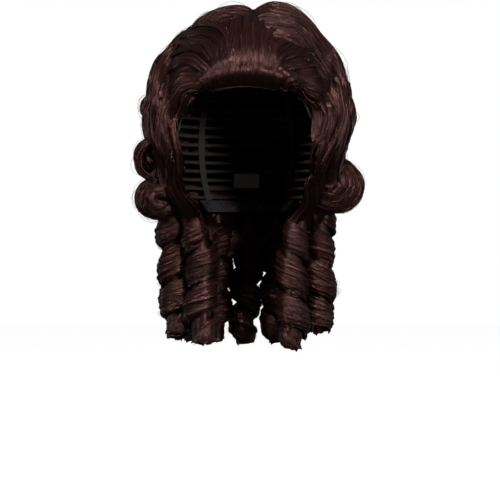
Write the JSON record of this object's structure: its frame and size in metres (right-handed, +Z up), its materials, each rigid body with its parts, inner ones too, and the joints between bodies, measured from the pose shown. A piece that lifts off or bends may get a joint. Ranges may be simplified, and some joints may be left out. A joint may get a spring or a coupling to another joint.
{
  "type": "costume wig",
  "caption": "Dark auburn costume wig: hair combed back from the brow into two crown lobes, rolled side curls and hanging ringlets on a sewn elastic cap.",
  "frame": {"origin": "inside of the cap at the top of the head", "axes": "+Z up, the face looks to -Y, +X to the right of someone who faces the wearer"},
  "size_m": [0.228, 0.241, 0.3455],
  "materials": {
    "hair": "satin",
    "cap_net": "matte",
    "weft_track": "matte",
    "elastic": "matte",
    "velvet": "matte",
    "binding": "satin",
    "stay": "satin",
    "hook": "gloss",
    "label": "satin"
  },
  "bodies": {
    "cap": {"adjuster_loops_left": "binding", "adjuster_loops_right": "binding", "back_hair_lower": "hair", "back_hair_upper": "hair", "cap_ribbons": "elastic", "crown_lobe_left": "hair", "crown_lobe_right": "hair", "crown_net": "cap_net", "ear_stay_left": "stay", "ear_stay_right": "stay", "ear_tab_left": "cap_net", "ear_tab_right": "cap_net", "edge_binding_left": "binding", "edge_binding_right": "binding", "front_net": "cap_net", "front_roll": "hair", "nape_band": "elastic", "rolled_curl_left_lower": "hair", "rolled_curl_left_middle": "hair", "rolled_curl_left_upper": "hair", "rolled_curl_right_lower": "hair", "rolled_curl_right_upper": "hair", "side_hair_left": "hair", "side_hair_right": "hair", "size_label": "label", "temple_wave_left": "hair", "temple_wave_right": "hair", "velvet_front_band": "velvet", "weft_rows": "weft_track"},
    "swing_right_1": {"ringlet_right_1": "hair"},
    "swing_right_2": {"ringlet_right_2": "hair"},
    "swing_right_3": {"ringlet_right_3": "hair"},
    "swing_right_4": {"ringlet_right_4": "hair"},
    "swing_back": {"ringlet_back": "hair"},
    "swing_left_4": {"ringlet_left_4": "hair"},
    "swing_left_3": {"ringlet_left_3": "hair"},
    "swing_left_2": {"ringlet_left_2": "hair"},
    "swing_left_1": {"ringlet_left_1": "hair"},
    "swing_right_front": {"ringlet_right_front": "hair"},
    "swing_left_front": {"ringlet_left_front": "hair"},
    "adjuster_left": {"adjuster_strap_left": "elastic", "adjuster_hook_left": "hook"},
    "adjuster_right": {"adjuster_strap_right": "elastic", "adjuster_hook_right": "hook"}
  },
  "joints": [
    {"name": "ringlet_right_1_swing", "type": "hinge", "parent": "cap", "child": "swing_right_1", "pos_m": [0.07328, 0.00771, -0.1885], "axis": [-0.139, -0.9903, 0], "range_deg": [0, 25]},
    {"name": "ringlet_right_2_swing", "type": "hinge", "parent": "cap", "child": "swing_right_2", "pos_m": [0.07095, 0.03902, -0.1885], "axis": [0.2841, -0.9588, 0], "range_deg": [0, 25]},
    {"name": "ringlet_right_3_swing", "type": "hinge", "parent": "cap", "child": "swing_right_3", "pos_m": [0.05584, 0.06655, -0.1885], "axis": [0.6561, -0.7547, 0], "range_deg": [0, 25]},
    {"name": "ringlet_right_4_swing", "type": "hinge", "parent": "cap", "child": "swing_right_4", "pos_m": [0.03069, 0.08534, -0.1885], "axis": [0.91, -0.4147, 0], "range_deg": [0, 25]},
    {"name": "ringlet_back_swing", "type": "hinge", "parent": "cap", "child": "swing_back", "pos_m": [0, 0.092, -0.1885], "axis": [1, 0, 0], "range_deg": [0, 25]},
    {"name": "ringlet_left_4_swing", "type": "hinge", "parent": "cap", "child": "swing_left_4", "pos_m": [-0.03069, 0.08534, -0.1885], "axis": [0.91, 0.4147, 0], "range_deg": [0, 25]},
    {"name": "ringlet_left_3_swing", "type": "hinge", "parent": "cap", "child": "swing_left_3", "pos_m": [-0.05584, 0.06655, -0.1885], "axis": [0.6561, 0.7547, 0], "range_deg": [0, 25]},
    {"name": "ringlet_left_2_swing", "type": "hinge", "parent": "cap", "child": "swing_left_2", "pos_m": [-0.07095, 0.03902, -0.1885], "axis": [0.2841, 0.9588, 0], "range_deg": [0, 25]},
    {"name": "ringlet_left_1_swing", "type": "hinge", "parent": "cap", "child": "swing_left_1", "pos_m": [-0.07328, 0.00771, -0.1885], "axis": [-0.139, 0.9903, 0], "range_deg": [0, 25]},
    {"name": "ringlet_right_front_swing", "type": "hinge", "parent": "cap", "child": "swing_right_front", "pos_m": [0.04637, -0.00846, -0.1885], "axis": [-1, 0, 0], "range_deg": [0, 25]},
    {"name": "ringlet_left_front_swing", "type": "hinge", "parent": "cap", "child": "swing_left_front", "pos_m": [-0.04637, -0.00846, -0.1885], "axis": [-1, 0, 0], "range_deg": [0, 25]},
    {"name": "adjuster_left_slide", "type": "hinge", "parent": "cap", "child": "adjuster_left", "pos_m": [0, 0.03133, -0.162], "axis": [0, 0, -1], "range_deg": [0, 11]},
    {"name": "adjuster_right_slide", "type": "hinge", "parent": "cap", "child": "adjuster_right", "pos_m": [0, 0.03133, -0.162], "axis": [0, 0, 1], "range_deg": [0, 11]}
  ]
}
